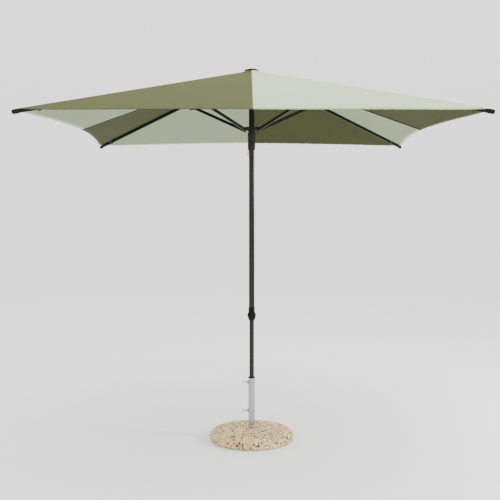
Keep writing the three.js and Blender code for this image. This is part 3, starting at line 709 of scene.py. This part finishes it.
def build_trim(gore):
    """The gore's hem, the bands of its two seams, and their stitches."""
    strips = Strips()
    strips.band(hem_sections(gore))
    for inset in (0.004, HEM - MARGIN):
        strips.stitches(line_on(gore, inset), OVER)
    strips.stitches(line_on(gore, HEM - MARGIN), UNDER)
    start = CLOTH_START + 0.004
    for kind, width, end in (("rib", 0.009, CORNER - 0.012), ("middle", 0.007, EDGE_MIDDLE - HEM)):
        profile = ((width, 0.0001), (width * 0.9, 0.0006), (0.0, 0.0007), (0.0, 0.0001))
        sections, steps = [], 90
        for i in range(steps + 1):
            reach = start + (end - start) * i / steps
            ring = [seam_point(gore, kind, reach, offset, lift) for offset, lift in profile]
            sections.append(ring if (gore.side > 0) == (kind == "rib") else ring[::-1])
        strips.band(sections)
        steps = 60
        for offset in (width * 0.3, width * 0.8):
            reaches = [start + (end - start) * i / steps for i in range(steps + 1)]
            strips.stitches([seam_point(gore, kind, reach, offset) for reach in reaches], OVER)
    # The underside of the hem and seams takes the darker copy of the cloth, painted shade.
    return strips.made(gore.name + "_hem", gore.tone, "thread_" + gore.tone, gore.tone + "_under")


def build_seam_tape(gore):
    """A dark strip of seam allowance that hangs under the middle of a side."""
    strips = Strips()
    half, top, bottom = 0.0032, -0.0004, -0.0068
    profile = ((-half, top), (half, top), (half * 0.8, bottom), (-half * 0.8, bottom))
    sections, steps = [], 90
    for i in range(steps + 1):
        reach = CLOTH_START + 0.01 + (EDGE_MIDDLE - 0.003 - CLOTH_START - 0.01) * i / steps
        ring = []
        for offset, lift in profile:
            x, y, z = gore.point(reach, 0, lift)
            ring.append((x + offset * gore.across[0], y + offset * gore.across[1], z))
        sections.append(ring)
    strips.band(sections)
    return strips.made(f"seam_tape_{gore.rib}", "tape", "tape", "tape")


def build_canopy():
    for rib in RIBS:
        for side in (1, -1):
            gore = Gore(rib, side)
            sheet, trim = build_gore(gore), build_trim(gore)
            parts = [sheet, trim]
            if side > 0:
                parts.append(build_seam_tape(gore))
            for obj in parts:
                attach(obj, gore.body)
                gore.flatten(obj)
            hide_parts(gore.node)


def crown_height(x, y):
    """The crown piece lies on the hub, drops over its edge and then lies on the gores."""
    above_hub, above_gores, drop = 0.0022, 0.0012, 0.0155
    radius = math.hypot(x, y)
    on_cloth = CLOTH_TOP - FALL * max(abs(x), abs(y)) + above_gores
    share = min(1.0, max(0.0, (radius - HUB_RADIUS - 0.001) / drop))
    ease = share * share * (3 - 2 * share)
    return (HUB_TOP + above_hub) * (1 - ease) + on_cloth * ease


def build_crown_cloth():
    """The small square piece over the crown, in four olive and four sage sectors."""
    rings, columns = 26, 192
    hole, half = 0.006, 0.074
    points, faces, coordinates = [], [], []
    for i in range(rings + 1):
        for j in range(columns):
            a = 2 * math.pi * j / columns
            outer = half / max(abs(math.cos(a)), abs(math.sin(a))) ** 0.9
            r = hole + (outer - hole) * (i / rings) ** 0.8
            x, y = r * math.cos(a), r * math.sin(a)
            points.append((x, y, crown_height(x, y)))
            coordinates.append((x, y))
    for i in range(rings):
        inner, outer = i * columns, (i + 1) * columns
        for j in range(columns):
            beside = (j + 1) % columns
            faces.append((inner + j, outer + j, outer + beside, inner + beside))
    sheet = mesh_object("crown_cloth", points, faces)
    sheet.data.materials.append(LOOKS["sage"])
    sheet.data.materials.append(LOOKS["olive"])
    lay_flat(sheet, coordinates)
    for face in sheet.data.polygons:
        azimuth = math.degrees(math.atan2(face.center[1], face.center[0])) % 90
        face.material_index = 1 if azimuth > 45 else 0
    thick = sheet.modifiers.new("cloth", "SOLIDIFY")
    thick.thickness, thick.offset = 0.0007, 0
    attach(sheet, "upper_mast")
    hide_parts("canopy_crown")


def build_straps():
    """A strap round each rib, with its knot underneath, that ties the cloth's corner down."""
    half_width, half_depth = 0.0074, 0.0114  # of the loop, round the rib
    back, below_ridge, below_top = 0.166, 0.0022, 0.011  # from the tip, the ridge and the rib's top
    knot, squareness, rounds, half = 0.0045, 0.45, 40, 0.010
    profile = (
        (-half, 0.0), (-half, 0.0011), (-half * 0.3, 0.0015),
        (half * 0.3, 0.0015), (half, 0.0011), (half, 0.0),
    )
    for rib, azimuth in RIBS.items():
        east, north = math.cos(azimuth), math.sin(azimuth)
        along = np.array([east * math.cos(SLOPE), north * math.cos(SLOPE), -math.sin(SLOPE)])
        aside = np.array([-north, east, 0])
        up = np.cross(along, aside)
        low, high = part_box(f"rib_{rib}_tip")
        corner = np.array([(low if along[k] < 0 else high)[k] for k in (0, 1)])
        reach = np.linalg.norm(corner) - back * math.cos(SLOPE)
        top = CLOTH_TOP - reach * RIDGE_DROP - below_ridge / math.cos(SLOPE)
        centre = np.array([reach * east, reach * north, top]) - up * below_top
        points, faces = [], []
        for shift, grow in profile:
            for k in range(rounds):
                a = 2 * math.pi * k / rounds
                c, s = math.cos(a), math.sin(a)
                wide = (half_width + grow) * np.sign(c) * abs(c) ** squareness
                tall = (half_depth + grow) * np.sign(s) * abs(s) ** squareness
                sag = knot * max(0.0, -s) ** 3 if grow > 0 else 0.0
                points.append(centre + along * shift + aside * wide + up * (tall - sag))
        for i in range(len(profile) - 1):
            near, far = i * rounds, (i + 1) * rounds
            for k in range(rounds):
                beside = (k + 1) % rounds
                faces.append((near + k, near + beside, far + beside, far + k))
        strap = mesh_object(f"corner_strap_{rib}", points, faces)
        strap.data.materials.append(LOOKS["tape"])
        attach(strap, f"rib_{rib}")


build_camera()
build_studio()
dress_frame()
build_slab()
build_canopy()
build_crown_cloth()
build_straps()
